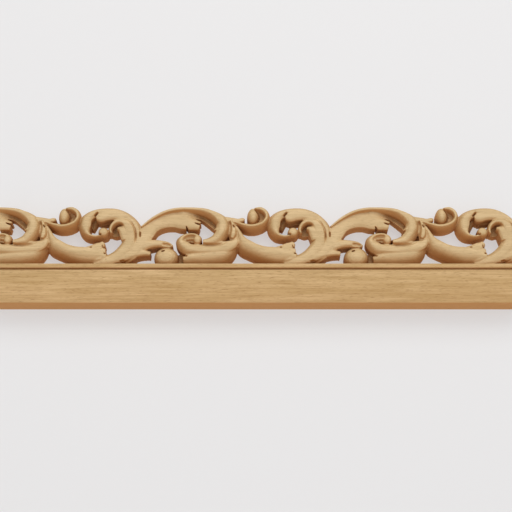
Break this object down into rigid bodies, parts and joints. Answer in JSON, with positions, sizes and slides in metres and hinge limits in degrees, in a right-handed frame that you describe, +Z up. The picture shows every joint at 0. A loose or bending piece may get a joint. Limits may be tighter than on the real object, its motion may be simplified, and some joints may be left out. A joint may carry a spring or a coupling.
{
  "type": "carved acanthus leaf moulding",
  "caption": "Pierced oak moulding: a running scroll of curling acanthus leaves above a plain flat band, with a flat back for fixing to a wall or furniture face.",
  "frame": {"origin": "on the flat back, halfway up the plain band and halfway along the moulding", "axes": "+X along the moulding, +Y out of its back towards what it is fixed to, +Z up; the carving faces -Y"},
  "size_m": [0.406, 0.02, 0.0804],
  "materials": {
    "oak": "sanded, unfinished light oak with fine dark pores along the grain"
  },
  "bodies": {
    "root": {"moulding": "oak"}
  },
  "joints": []
}
